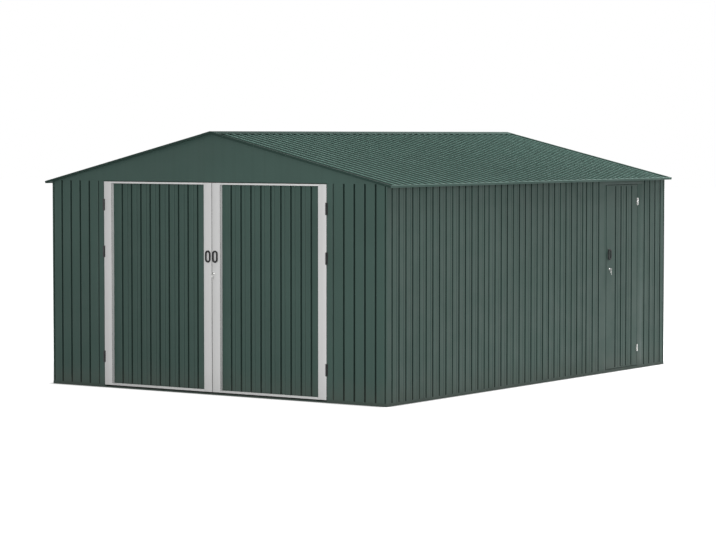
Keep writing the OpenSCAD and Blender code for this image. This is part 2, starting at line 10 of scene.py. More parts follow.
import bmesh
import bpy
import numpy as np
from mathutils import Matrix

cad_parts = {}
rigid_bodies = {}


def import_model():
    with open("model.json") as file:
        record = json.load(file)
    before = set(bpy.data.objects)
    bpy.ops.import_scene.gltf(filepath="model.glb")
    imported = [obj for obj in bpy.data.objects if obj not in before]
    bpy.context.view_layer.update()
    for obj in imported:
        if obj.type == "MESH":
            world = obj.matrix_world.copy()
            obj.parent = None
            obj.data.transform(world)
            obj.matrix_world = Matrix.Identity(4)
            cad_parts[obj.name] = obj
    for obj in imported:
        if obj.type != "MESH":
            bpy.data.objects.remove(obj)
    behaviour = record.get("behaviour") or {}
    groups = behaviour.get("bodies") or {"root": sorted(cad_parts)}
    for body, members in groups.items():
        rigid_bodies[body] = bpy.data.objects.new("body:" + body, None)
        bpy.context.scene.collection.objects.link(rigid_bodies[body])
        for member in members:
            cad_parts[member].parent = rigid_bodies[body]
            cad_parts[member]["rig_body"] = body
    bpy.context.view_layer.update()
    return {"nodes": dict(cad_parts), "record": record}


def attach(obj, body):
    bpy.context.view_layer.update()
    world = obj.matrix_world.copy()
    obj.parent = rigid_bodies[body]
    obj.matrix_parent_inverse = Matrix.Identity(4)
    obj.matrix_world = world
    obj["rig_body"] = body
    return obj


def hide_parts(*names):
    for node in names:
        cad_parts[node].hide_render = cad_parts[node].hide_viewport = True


Array = np.ndarray
Shape = tuple[Array, list]
Rgb = tuple[float, float, float]
Rgba = tuple[float, float, float, float]
Vector = tuple[float, float, float]
Socket = bpy.types.NodeSocket
Object = bpy.types.Object
Material = bpy.types.Material

log = logging.getLogger("garage")

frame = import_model()


class Slot(Enum):
    """The record's material slots."""

    GREEN_WALL = "green_wall"
    GREEN_ROOF = "green_roof"
    GREEN_DOOR = "green_door"
    GREEN_BASE = "green_base"
    WHITE_FRAME = "white_frame"
    GALVANISED = "galvanised_frame"
    BLACK_HINGE = "black_hinge"
    BLACK_PULL = "black_pull"
    BRIGHT_STEEL = "bright_steel"


# ---- The building's sizes, in metres ----


@dataclass(frozen=True)
class Plan:
    """Main sizes of the building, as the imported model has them."""

    half_width: float = 1.871
    half_length: float = 2.522
    ridge: float = 2.350
    eave: float = 1.890
    eave_overhang: float = 0.065
    verge_overhang: float = 0.032
    sheet: float = 0.001
    cap_layer: float = 0.0022
    groove_depth: float = 0.014
    lap_depth: float = 0.005
    bead_depth: float = 0.0015
    doorway_top: float = 1.898
    rail_mid: float = 0.950
    rail_top: float = 1.860
    base_lip: float = 0.0015
    purlin_places: tuple[float, float] = (0.36, 0.68)

    @property
    def slope(self) -> float:
        """Pitch of the roof in radians."""
        return math.atan((self.ridge - self.eave) / (self.half_width + self.eave_overhang))

    @property
    def apex(self) -> float:
        """Height at which the planes of the roof sheets' top faces meet."""
        return self.ridge - self.cap_layer / math.cos(self.slope)

    @property
    def slope_length(self) -> float:
        """Length of a roof sheet's slope from the ridge line to the eave."""
        return (self.half_width + self.eave_overhang) / math.cos(self.slope)

    @property
    def roof_half(self) -> float:
        """Half of the roof's length."""
        return self.half_length + self.verge_overhang


PLAN = Plan()


@dataclass(frozen=True)
class Face:
    """A wall's or roof's own frame: u along it, d into the building and w up or down it."""

    origin: Vector
    u: Vector
    d: Vector
    w: Vector

    def axes(self) -> Array:
        """The three axes as rows."""
        return np.array([self.u, self.d, self.w], float)

    def place(self, points: Array) -> Array:
        """Row frame points: origin + u·x + d·y + w·z."""
        return np.asarray(points) @ self.axes() + np.array(self.origin)

    def local(self, points: Array) -> Array:
        """This frame's points, the inverse of place."""
        return (np.asarray(points) - np.array(self.origin)) @ self.axes().T

    def turned_over(self) -> bool:
        """True where the axes are left-handed, so that faces need turning round."""
        return float(np.linalg.det(self.axes())) < 0


def roof_face(side: int) -> Face:
    """Frame of one roof slope.

    Args:
        side: 1 for the right-hand slope, -1 for the left-hand one.

    Returns:
        The frame with w running down the slope from the ridge.
    """
    sin, cos = math.sin(PLAN.slope), math.cos(PLAN.slope)
    return Face((0, 0, PLAN.apex), (0, 1, 0), (-side * sin, 0, -cos), (side * cos, 0, -sin))


FRONT = Face((0, -PLAN.half_length, 0), (1, 0, 0), (0, 1, 0), (0, 0, 1))
REAR = Face((0, PLAN.half_length, 0), (-1, 0, 0), (0, -1, 0), (0, 0, 1))
RIGHT = Face((PLAN.half_width, 0, 0), (0, 1, 0), (-1, 0, 0), (0, 0, 1))
LEFT = Face((-PLAN.half_width, 0, 0), (0, 1, 0), (1, 0, 0), (0, 0, 1))
ROOF_RIGHT = roof_face(1)
ROOF_LEFT = roof_face(-1)


# ---- Finishes ----


class Wiring:
    """Adds and joins the nodes of one material, or of the world."""

    def __init__(self, name: str, world: bpy.types.World | None = None) -> None:
        """Starts an empty node tree in the world, or in a new material of the given name.

        Args:
            name: Name of a new material.
            world: The world, where it is the one to wire.
        """
        self.owner = world or bpy.data.materials.new(name)
        self.owner.use_nodes = True
        self.tree = self.owner.node_tree
        self.tree.nodes.clear()
        self.coords = self.tree.nodes.new("ShaderNodeTexCoord").outputs["Object"]

    def node(self, kind: str, settings: dict | None = None, *values: object,
             **inputs: object) -> bpy.types.Node:
        """Adds a node.

        Args:
            kind: The node's type.
            settings: Values of the node's own properties.
            values: Values or sockets of its first inputs, in order.
            inputs: Values or sockets of its inputs by name, with _ for a space.

        Returns:
            The node.
        """
        made = self.tree.nodes.new(kind)
        for key, value in (settings or {}).items():
            setattr(made, key, value)
        for target, value in zip(made.inputs, values):
            self.feed(target, value)
        for key, value in inputs.items():
            self.feed(made.inputs[key.replace("_", " ")], value)
        return made

    def feed(self, target: Socket, value: object) -> None:
        """Joins a socket to the target, or sets the target's own value.

        Args:
            target: The input to feed.
            value: A socket, a value, or None to leave it alone.
        """
        if isinstance(value, bpy.types.NodeSocket):
            self.tree.links.new(value, target)
        elif value is not None:
            target.default_value = value

    def math(self, operation: str, *values: object) -> Socket:
        """A Math node on up to three values."""
        return self.node("ShaderNodeMath", {"operation": operation}, *values).outputs[0]

    def times(self, first: object, second: object) -> Socket:
        """The product of two values."""
        return self.math("MULTIPLY", first, second)

    def span(self, value: Socket, low: float, high: float, to_low: float,
             to_high: float) -> Socket:
        """Carries a value smoothly from one range to another, held at its ends."""
        return self.node("ShaderNodeMapRange", {"interpolation_type": "SMOOTHSTEP"},
                         value, low, high, to_low, to_high).outputs[0]

    def mix(self, factor: object, first: object, second: object, blend: str = "MIX") -> Socket:
        """Blends two colours.

        Args:
            factor: Share of the second colour.
            first: A colour or socket.
            second: A colour or socket.
            blend: How they blend.

        Returns:
            The blended colour.
        """
        made = self.node("ShaderNodeMix", {"data_type": "RGBA", "blend_type": blend})
        for target, value in zip((made.inputs[0], made.inputs[6], made.inputs[7]),
                                 (factor, first, second)):
            self.feed(target, value)
        return made.outputs[2]

    def attribute(self, name: str) -> Socket:
        """A factor that the mesh carries."""
        return self.node("ShaderNodeAttribute", {"attribute_name": name}).outputs["Fac"]

    def stretched(self, scale: Vector) -> Socket:
        """Object coordinates multiplied by a scale along each axis."""
        return self.node("ShaderNodeMapping", Vector=self.coords, Scale=scale).outputs[0]

    def noise(self, scale: float, detail: float = 3.0, vector: Socket | None = None) -> Socket:
        """Even noise from 0 to 1."""
        return self.node("ShaderNodeTexNoise", Vector=vector or self.coords, Scale=scale,
                         Detail=detail, Roughness=0.55).outputs[0]

    def bump(self, height: Socket, distance: float, under: Socket | None = None) -> Socket:
        """A bump of the given height in metres, on top of another normal."""
        return self.node("ShaderNodeBump", Height=height, Distance=distance, Strength=1.0,
                         Normal=under).outputs[0]

    def finish(self, shader: Socket) -> Material:
        """Joins the shader to the output and returns the material."""
        self.node("ShaderNodeOutputMaterial", Surface=shader)
        return self.owner

    def principled(self, **inputs: object) -> Material:
        """Finishes the material with a Principled shader of the given inputs."""
        return self.finish(self.node("ShaderNodeBsdfPrincipled", **inputs).outputs[0])


def shade(colour: Rgb, factor: float) -> Rgba:
    """A colour made lighter or darker, with full alpha."""
    return tuple(min(1.0, c * factor) for c in colour) + (1.0,)


PURE_WHITE: Rgba = (1.0, 1.0, 1.0, 1.0)
SOIL: Rgba = (0.105, 0.100, 0.085, 1.0)
DUST: Rgba = (0.09, 0.09, 0.085, 1.0)


class Edges(Enum):
    """How a coat finds the edges that it lightens: a painted highlight on rolled folds, rubbed
    paint on bevels.
    """

    ROLLED_FOLDS = "fold"
    BEVELS = "bevel"
    # A darker, less glossy copy of the green for the verge trims and ridge cap: painted shade.
    SHADED_TRIM_BEVELS = "trim"


@dataclass(frozen=True)
class CoatedSteel:
    """Satin coat on steel, with fading, rain streaks and soil, lighter outward edges (a painted
    highlight on rolled folds, rubbed paint on bevels), and painted shade in inward folds, grooves
    and recesses.
    """

    name: str
    colour: Rgb
    edges: Edges
    roughness: float = 0.50
    specular: float = 0.25
    fading: float = 0.07
    streaks: float = 0.06
    streak_tone: float = 0.55
    speck_tone: float = 1.5
    soil: float = 0.30
    soil_height: float = 0.30
    # Lighter outward edges: a painted highlight on rolled folds, rubbed paint on bevels.
    wear_and_highlight: float = 0.55
    wear_and_highlight_lift: float = 1.7
    # Painted shade in inward folds: its strength and its tone.
    crease_shade: float = 0.25
    crease_shade_tone: float = 0.25
    # Painted shade in grooves and recesses: its strength, its tone and the reach of its ambient
    # occlusion.
    hollow_shade: float = 0.96
    hollow_shade_tone: float = 0.06
    recess_shade_reach: float = 0.014
    grain_scale: float = 900.0
    grain_height: float = 0.00002
    dent_scale: float = 2.6
    dent_height: float = 0.0016

    def edge_wear_and_highlight(self, wiring: Wiring) -> tuple[Socket, Socket | None]:
        """Finds the outward folds, and the inward ones where they are known.

        Args:
            wiring: The material's nodes.

        Returns:
            A factor that is 1 on outward folds, and one that is 1 in inward folds or None.
        """
        if self.edges is Edges.ROLLED_FOLDS:
            fold = wiring.attribute("fold")
            inward = wiring.math("MAXIMUM", wiring.times(fold, -1.0), 0.0)
            return wiring.math("MAXIMUM", fold, 0.0), inward
        bevel = wiring.node("ShaderNodeBevel", {"samples": 4}, Radius=0.0012).outputs[0]
        plain = wiring.node("ShaderNodeNewGeometry").outputs["Normal"]
        turn = wiring.node("ShaderNodeVectorMath", {"operation": "DOT_PRODUCT"}, bevel, plain)
        return wiring.span(turn.outputs["Value"], 0.985, 0.80, 0.0, 1.0), None

    def hollow_shading(self, wiring: Wiring) -> Socket:
        """How much painted shade a place gets: on ribbed sheets from their grooves, elsewhere from
        how closed in it is by ambient occlusion.

        Args:
            wiring: The material's nodes.

        Returns:
            A factor from 0 to hollow_shade.
        """
        if self.edges is Edges.ROLLED_FOLDS:
            return wiring.times(wiring.attribute("hollow_shade"), self.hollow_shade)
        open_air = wiring.node("ShaderNodeAmbientOcclusion", {"samples": 6},
                               Distance=self.recess_shade_reach).outputs["AO"]
        return wiring.times(wiring.span(open_air, 0.25, 0.62, 0.95, 0.0), self.hollow_shade)

    def material(self) -> Material:
        """Builds the coat's material.

        Returns:
            The material. Its colour is faded and streaked, lifted on outward edges (a painted
            highlight on rolled folds, rubbed paint on bevels), lowered in creases, grooves and
            recesses as painted shade, and mixed with soil below about soil_height.
        """
        wiring = Wiring(self.name)
        drift = wiring.span(wiring.noise(0.9), 0.3, 0.7, 0.0, 1.0)
        colour = wiring.mix(drift, shade(self.colour, 1 - self.fading),
                            shade(self.colour, 1 + self.fading))
        runs = wiring.noise(1.0, 4.0, wiring.stretched((24.0, 24.0, 0.55)))
        dark = wiring.span(runs, 0.42, 0.72, 0.0, self.streaks * 2)
        colour = wiring.mix(dark, colour, shade(self.colour, self.streak_tone))
        speck = wiring.span(wiring.noise(260.0, 2.0), 0.62, 0.78, 0.0, 0.12)
        colour = wiring.mix(speck, colour, shade(self.colour, self.speck_tone))
        # Outward edges get lighter: on rolled folds this is a painted highlight, on bevels rubbed
        # paint.
        outward, inward = self.edge_wear_and_highlight(wiring)
        patch = wiring.span(wiring.noise(38.0, 4.0), 0.35, 0.65, 0.45, 1.0)
        edge_wear_and_highlight = wiring.times(wiring.times(outward, patch), self.wear_and_highlight)
        colour = wiring.mix(edge_wear_and_highlight, colour, shade(self.colour, self.wear_and_highlight_lift))
        # Painted shade in inward folds, at the feet of the roof's ribs above all.
        if inward is not None:
            colour = wiring.mix(wiring.times(inward, self.crease_shade), colour,
                                shade(self.colour, self.crease_shade_tone))
        # Painted shade in grooves and recesses: the colour goes towards hollow_shade_tone.
        deep = self.hollow_shading(wiring)
        colour = wiring.mix(deep, colour, shade(self.colour, self.hollow_shade_tone))
        height = wiring.node("ShaderNodeSeparateXYZ", Vector=wiring.coords).outputs["Z"]
        ragged = wiring.math("ADD", height, wiring.times(wiring.noise(7.0, 5.0), -self.soil_height))
        soiled = wiring.span(ragged, -self.soil_height * 0.8, self.soil_height * 0.45,
                             self.soil, 0.0)
        colour = wiring.mix(soiled, colour, SOIL)
        rough = wiring.span(wiring.noise(4.5, 5.0), 0.3, 0.7, self.roughness - 0.05,
                            self.roughness + 0.07)
        rough = wiring.math("ADD", rough, wiring.times(edge_wear_and_highlight, -0.10))
        rough = wiring.math("ADD", rough, wiring.times(soiled, 0.4))
        normal = wiring.bump(wiring.noise(self.dent_scale, 1.0), self.dent_height)
        normal = wiring.bump(wiring.noise(self.grain_scale, 2.0), self.grain_height, normal)
        # The painted shade also takes the reflection out of grooves and recesses.
        return wiring.principled(Base_Color=colour, Roughness=rough, Normal=normal,
                                 Specular_IOR_Level=wiring.span(deep, 0.0, 1.0, self.specular, 0.0))


@dataclass(frozen=True)
class Galvanised:
    """Zinc-coated steel: a metal with pale and dark crystal patches and dull marks."""

    name: str
    colour: Rgb = (0.46, 0.47, 0.475)
    patch_scale: float = 75.0
    roughness: float = 0.42

    def material(self) -> Material:
        """Colour and roughness change from cell to cell of a Voronoi pattern."""
        wiring = Wiring(self.name)
        cells = wiring.node("ShaderNodeTexVoronoi", Vector=wiring.coords, Scale=self.patch_scale)
        value = wiring.node("ShaderNodeSeparateColor", Color=cells.outputs["Color"]).outputs[0]
        colour = wiring.mix(value, shade(self.colour, 0.82), shade(self.colour, 1.15))
        marks = wiring.span(wiring.noise(9.0, 5.0), 0.5, 0.75, 0.0, 0.45)
        colour = wiring.mix(marks, colour, shade(self.colour, 0.7))
        rough = wiring.span(value, 0.0, 1.0, self.roughness - 0.07, self.roughness + 0.07)
        return wiring.principled(Base_Color=colour, Metallic=0.85,
                                 Roughness=wiring.math("ADD", rough, wiring.times(marks, 0.3)),
                                 Normal=wiring.bump(wiring.noise(420.0, 2.0), 0.00002))


@dataclass(frozen=True)
class Plating:
    """Bright nickel plate with fine turning marks and finger marks."""

    name: str
    colour: Rgb = (0.56, 0.56, 0.55)
    roughness: float = 0.26

    def material(self) -> Material:
        """Roughness rises in smudges, and the colour darkens a little with them."""
        wiring = Wiring(self.name)
        smudge = wiring.span(wiring.noise(120.0, 4.0), 0.45, 0.7, 0.0, 1.0)
        colour = wiring.mix(smudge, shade(self.colour, 1.05), shade(self.colour, 0.80))
        rough = wiring.span(smudge, 0.0, 1.0, self.roughness, self.roughness + 0.18)
        marks = wiring.noise(1.0, 2.0, wiring.stretched((300.0, 300.0, 2600.0)))
        return wiring.principled(Base_Color=colour, Roughness=rough, Metallic=1.0,
                                 Normal=wiring.bump(marks, 0.00002))


@dataclass(frozen=True)
class Moulded:
    """Moulded black plastic: fine grain, gloss that varies in patches, and a haze of dust."""

    name: str
    colour: Rgb = (0.010, 0.010, 0.011)
    roughness: float = 0.42
    specular: float = 0.22

    def material(self) -> Material:
        """Grain from noise in the bump, and a pale haze of dust from a coarser one."""
        wiring = Wiring(self.name)
        haze = wiring.span(wiring.noise(60.0, 5.0), 0.45, 0.75, 0.0, 0.10)
        colour = wiring.mix(haze, self.colour + (1.0,), DUST)
        rough = wiring.span(wiring.noise(25.0, 3.0), 0.3, 0.7, self.roughness - 0.08,
                            self.roughness + 0.10)
        return wiring.principled(Base_Color=colour, Roughness=rough,
                                 Normal=wiring.bump(wiring.noise(1500.0, 2.0), 0.00006),
                                 Specular_IOR_Level=self.specular)


GREEN: Rgb = (0.047, 0.088, 0.074)
WHITE: Rgb = (0.75, 0.75, 0.745)


@dataclass
class Finishes:
    """Every finish, by the slot that it dresses and by how it finds the edges that it lightens."""

    made: dict[tuple[Slot, Edges], Material] = field(default_factory=dict)

    def coat(self, slot: Slot, edges: Edges) -> CoatedSteel:
        """The coat of a painted slot.

        Args:
            slot: A green, white or black slot.
            edges: How the coat finds the edges that it lightens.

        Returns:
            The coat with the slot's colour and gloss.
        """
        name = f"{slot.value}_{edges.value}"
        if slot is Slot.WHITE_FRAME:
            return CoatedSteel(name, WHITE, edges, roughness=0.42, fading=0.02, streaks=0.04,
                               soil=0.10, wear_and_highlight=0.15, wear_and_highlight_lift=0.8, dent_height=0.0003)
        if slot is Slot.BLACK_HINGE:
            return CoatedSteel(name, (0.016, 0.016, 0.017), edges, roughness=0.36, soil=0.1,
                               wear_and_highlight=0.7, wear_and_highlight_lift=5.0, specular=0.4, dent_height=0.0)
        # The roof's green is a lighter copy of the walls' green, painted light from above.
        tone = {Slot.GREEN_ROOF: 1.4, Slot.GREEN_DOOR: 0.97, Slot.GREEN_BASE: 0.75}.get(slot, 1.0)
        # Verge trims and ridge cap: a darker copy of the green with little gloss, painted shade.
        if edges is Edges.SHADED_TRIM_BEVELS:
            return CoatedSteel(name, shade(GREEN, 0.62)[:3], edges, roughness=0.66, specular=0.06,
                               wear_and_highlight=0.25)
        # The roof: lighter green as painted light, a painted highlight on outward folds and painted
        # shade at the ribs' feet.
        if slot is Slot.GREEN_ROOF:
            return CoatedSteel(name, shade(GREEN, tone)[:3], edges, roughness=0.60, specular=0.20,
                               crease_shade=0.95, wear_and_highlight=0.9, wear_and_highlight_lift=2.2)
        return CoatedSteel(name, shade(GREEN, tone)[:3], edges)

    def get(self, slot: Slot, edges: Edges = Edges.BEVELS) -> Material:
        """The slot's material, made once.

        Args:
            slot: The slot.
            edges: How its coat finds the edges that it lightens.

        Returns:
            The material.
        """
        if (slot, edges) not in self.made:
            plain = {Slot.GALVANISED: Galvanised, Slot.BRIGHT_STEEL: Plating,
                     Slot.BLACK_PULL: Moulded}
            finish = plain[slot](slot.value) if slot in plain else self.coat(slot, edges)
            self.made[slot, edges] = finish.material()
        return self.made[slot, edges]


FINISHES = Finishes()


# ---- Making meshes ----


def node_points(node: str) -> Array:
    """All vertices of a CAD node, one to a row.

    Args:
        node: The node's name.

    Returns:
        Its vertices in the row frame.
    """
    mesh = frame["nodes"][node].data
    flat = np.empty(len(mesh.vertices) * 3, np.float32)
    mesh.vertices.foreach_get("co", flat)
    return flat.reshape(-1, 3).astype(float)


def body_of(node: str) -> str:
    """The body that a CAD node rides on."""
    return frame["nodes"][node]["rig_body"]


def slot_of(node: str) -> Slot:
    """The material slot that the record gives a CAD node."""
    return next(Slot(part["material_slot"]) for part in frame["record"]["subparts"]
                if part["node"] == node)


def put(name: str, data: bpy.types.ID) -> Object:
    """Makes an object and links it to the scene.

    Args:
        name: The object's name.
        data: Its mesh, light or camera.

    Returns:
        The new object.
    """
    made = bpy.data.objects.new(name, data)
    bpy.context.scene.collection.objects.link(made)
    return made


def make_piece(name: str, points: Array, faces: list | Array, body: str, slot: Slot,
               edges: Edges = Edges.BEVELS, sharp: float = 40.0) -> Object:
    """Makes a finished piece that rides on a body.

    Args:
        name: The piece's name.
        points: Its vertices in the row frame.
        faces: Rows of vertex numbers, wound outwards.
        body: The body that it rides on.
        slot: The material slot that it takes its finish from.
        edges: How its coat finds the edges that it lightens.
        sharp: Folds above this angle in degrees stay sharp.

    Returns:
        The new object.
    """
    mesh = bpy.data.meshes.new(name)
    rows = faces.tolist() if isinstance(faces, np.ndarray) else faces
    mesh.from_pydata(np.asarray(points).tolist(), [], rows)
    mesh.shade_smooth()
    mesh.set_sharp_from_angle(angle=math.radians(sharp))
    mesh.materials.append(FINISHES.get(slot, edges))
    made = put(name, mesh)
    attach(made, body)
    log.info("%s: %d vertices, %d faces, on %s", name, len(mesh.vertices), len(rows), body)
    return made


def grid_faces(rows: int, columns: int, wrap: bool = True) -> Array:
    """Quads of a grid whose vertices run along its columns first.

    Args:
        rows: Number of rings.
        columns: Number of points in a ring.
        wrap: True where each ring closes on itself.

    Returns:
        One row of four vertex numbers for each quad, (i, j), (i, j+1), (i+1, j+1), (i+1, j).
    """
    i, j = np.meshgrid(np.arange(rows - 1), np.arange(columns if wrap else columns - 1),
                       indexing="ij")
    following = (j + 1) % columns
    quads = np.stack([i * columns + j, i * columns + following,
                      (i + 1) * columns + following, (i + 1) * columns + j], axis=-1)
    return quads.reshape(-1, 4)


def turn_angles(count: int) -> Array:
    """The angles of one turn in equal steps."""
    return np.arange(count) * 2 * np.pi / count


def unit(vectors: Array) -> Array:
    """Vectors scaled to length 1."""
    return vectors / np.linalg.norm(vectors, axis=-1, keepdims=True)


def join_meshes(parts: list[Shape]) -> Shape:
    """Puts several meshes of (points, faces) into one.

    Args:
        parts: The meshes in order.

    Returns:
        All the points, and the faces renumbered.
    """
    points, faces, start = [], [], 0
    for part_points, part_faces in parts:
        points.append(part_points)
        faces += [[number + start for number in face] for face in part_faces]
        start += len(part_points)
    return np.concatenate(points), faces


LONGEST_CURVE = 0.38
HOLD = 1.18


def round_folds(line: Array, reach: float, steps: int) -> tuple[Array, Array]:
    """Rounds the folds of a line.

    A fold P between directions a and b becomes (1-t)²·(P - r·a) + 2t(1-t)·P + t²·(P + r·b) for
    t from 0 to 1. r is the reach, or a share of a shorter side. One more point stands a short
    way along each side, so that the flats stay flat when shaded.

    Args:
        line: Points in order, one to a row.
        reach: Distance from a fold's point to each end of its curve.
        steps: Number of facets in a curve.

    Returns:
        The rounded line, and for each point 1 on outward folds, -1 on inward ones, else 0.
    """
    before, after = line[1:-1] - line[:-2], line[2:] - line[1:-1]
    short = np.minimum(np.linalg.norm(before, axis=1), np.linalg.norm(after, axis=1))
    r = np.minimum(reach, LONGEST_CURVE * short)[:, None, None]
    a, b, p = unit(before)[:, None], unit(after)[:, None], line[1:-1][:, None]
    t = np.linspace(0, 1, steps + 1)[None, :, None]
    curve = (1 - t) ** 2 * (p - r * a) + 2 * t * (1 - t) * p + t ** 2 * (p + r * b)
    rounded = np.concatenate([p - HOLD * r * a, curve, p + HOLD * r * b], axis=1)
    turn = np.sign(a[..., 0] * b[..., 1] - a[..., 1] * b[..., 0])
    fold = np.broadcast_to(turn, rounded.shape[:2]).copy()
    fold[:, [0, -1]] = 0
    ends = np.zeros(1)
    return (np.concatenate([line[:1], rounded.reshape(-1, 2), line[-1:]]),
            np.concatenate([ends, fold.ravel(), ends]))


def offset_line(line: Array, distance: float) -> Array:
    """A line moved sideways: each point goes distance / cos(half its turn) along its normal.

    Args:
        line: Points in order, one to a row.
        distance: How far, to the left of the line's direction.

    Returns:
        The moved line.
    """
    sides = unit(np.diff(line, axis=0))
    normals = np.stack([-sides[:, 1], sides[:, 0]], axis=1)
    first = np.concatenate([normals[:1], normals])
    last = np.concatenate([normals, normals[-1:]])
    middle = unit(first + last)
    return line + distance * middle / np.sum(middle * first, axis=1, keepdims=True)


def folded_sheet(line: Array, thickness: float, levels: Array) -> tuple[Array, Array]:
    """A solid sheet whose outer face is a folded line carried along w.

    Args:
        line: Points (u, d) of the outer face.
        thickness: Thickness of the sheet, towards +d.
        levels: Places along w, from low to high.

    Returns:
        Points in the face's own frame, and quads wound outwards.
    """
    back = offset_line(line, thickness)
    ring = np.concatenate([line, back[::-1]])
    count = len(ring)
    points = np.concatenate(
        [np.tile(ring, (len(levels), 1)), np.repeat(levels, count)[:, None]], axis=1)
    walls = grid_faces(len(levels), count)
    i = np.arange(len(line) - 1)
    low = np.stack([i, count - 1 - i, count - 2 - i, i + 1], axis=1)
    high = low[:, ::-1] + (len(levels) - 1) * count
    return points, np.concatenate([walls, low, high])


# ---- Ribbed sheets ----


DEPTH_SLACK = 2e-4
END_SLACK = 1e-4
SAME_PLACE = 5e-5


@dataclass
class RibbedSheet:
    """A wall, roof or door sheet with rolled grooves and beads, in place of its CAD node."""

    node: str
    face: Face
    raised: bool = False
    # groove_shade and bead_shade: strength of the painted shade in grooves and in beads.
    groove_shade: float = 1.0
    bead_shade: float = 0.35
    reach: float = 0.0019
    steps: int = 3
    levels: int = 2

    def outer_line(self) -> tuple[Array, float, float]:
        """Reads the sheet's outer face from its CAD node.

        The vertices at the sheet's low end whose depth is one of a face's depths, and not a
        depth one sheet further in, are its folded line.

        Returns:
            The line as points (u, d), and the sheet's ends along w.
        """
        points = self.face.local(node_points(self.node))
        low, high = points[:, 2].min(), points[:, 2].max()
        ring = points[points[:, 2] < low + END_SLACK][:, :2]
        depth = ring[:, 1] - ring[:, 1].min()
        bead = PLAN.groove_depth - PLAN.bead_depth if self.raised else PLAN.bead_depth
        known = np.array([0.0, bead, PLAN.lap_depth, PLAN.groove_depth])
        line = ring[(np.abs(depth[:, None] - known) < DEPTH_SLACK).any(axis=1)]
        line = line[np.argsort(line[:, 0])]
        fresh = np.concatenate([[True], np.diff(line[:, 0]) > SAME_PLACE])
        return line[fresh], float(low), float(high)

    def grooves(self) -> Array:
        """Middles of the full-depth grooves along u, or of the ribs of a raised sheet.

        Returns:
            Places along u, in order.
        """
        line = self.outer_line()[0]
        depth = line[:, 1] - line[:, 1].min()
        deep = PLAN.groove_depth - DEPTH_SLACK
        chosen = depth < DEPTH_SLACK if self.raised else depth > deep
        return line[chosen, 0].reshape(-1, 2).mean(axis=1)

    def under_roof(self, points: Array) -> Array:
        """Heights held under the roof sheets: apex - |u|·tan(slope) - depth / cos(slope)."""
        under = PLAN.apex - (PLAN.groove_depth + 1.1 * PLAN.sheet) / math.cos(PLAN.slope)
        return np.minimum(points[:, 2], under - np.abs(points[:, 0]) * math.tan(PLAN.slope))

    def build(self) -> Object:
        """Builds the sheet with rounded folds.

        Returns:
            The piece, with a fold attribute of 1 on outward folds and -1 in inward ones, and a
            hollow_shade attribute for the painted shade in its grooves: groove_shade · (share of a
            groove's depth)^0.3, less in beads, and 0 on a raised sheet.
        """
        line, low, high = self.outer_line()
        rounded, fold = round_folds(line, self.reach, self.steps)
        levels = np.linspace(low, high, self.levels)
        points, faces = folded_sheet(rounded, PLAN.sheet, levels)
        if self.face in (FRONT, REAR):
            points[:, 2] = self.under_roof(points)
        if self.face.turned_over():
            faces = faces[:, ::-1]
        slot = slot_of(self.node)
        made = make_piece(f"{self.node}_sheet", self.face.place(points), faces,
                          body_of(self.node), slot, Edges.ROLLED_FOLDS)
        depth = np.maximum(rounded[:, 1] - rounded[:, 1].min(), 0.0) / PLAN.groove_depth
        bead = 1.02 * PLAN.bead_depth / PLAN.groove_depth
        # Painted shade: darker deeper in a groove, a little in beads.
        hollow_shade = np.where(depth <= bead, self.bead_shade * depth / bead, self.groove_shade * depth ** 0.3)
        hollow_shade *= not self.raised
        for name, front, back in (("fold", fold, -fold), ("hollow_shade", hollow_shade, np.zeros_like(depth))):
            ring = np.tile(np.concatenate([front, back[::-1]]), self.levels).astype(np.float32)
            made.data.attributes.new(name, "FLOAT", "POINT").data.foreach_set("value", ring)
        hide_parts(self.node)
        return made


@dataclass
class Cladding:
    """All the ribbed sheets of the building and its doors."""

    sheets: tuple[RibbedSheet, ...] = (
        # Less painted groove shade on the front wall and on the front doors' panels.
        RibbedSheet("front_wall_left", FRONT, groove_shade=0.8),
        RibbedSheet("front_wall_right", FRONT, groove_shade=0.8),
        RibbedSheet("left_wall", LEFT),
        RibbedSheet("right_wall_front", RIGHT),
        RibbedSheet("right_wall_rear", RIGHT),
        RibbedSheet("rear_wall", REAR),
        RibbedSheet("roof_left", ROOF_LEFT, raised=True, reach=0.005),
        RibbedSheet("roof_right", ROOF_RIGHT, raised=True, reach=0.005),
        RibbedSheet("left_leaf_panel", FRONT, groove_shade=0.7),
        RibbedSheet("right_leaf_panel", FRONT, groove_shade=0.7),
        RibbedSheet("side_leaf_panel", RIGHT),
    )

    def build(self) -> None:
        """Builds every sheet."""
        for sheet in self.sheets:
            sheet.build()


# ---- Frames, trims and hinges with softened edges ----


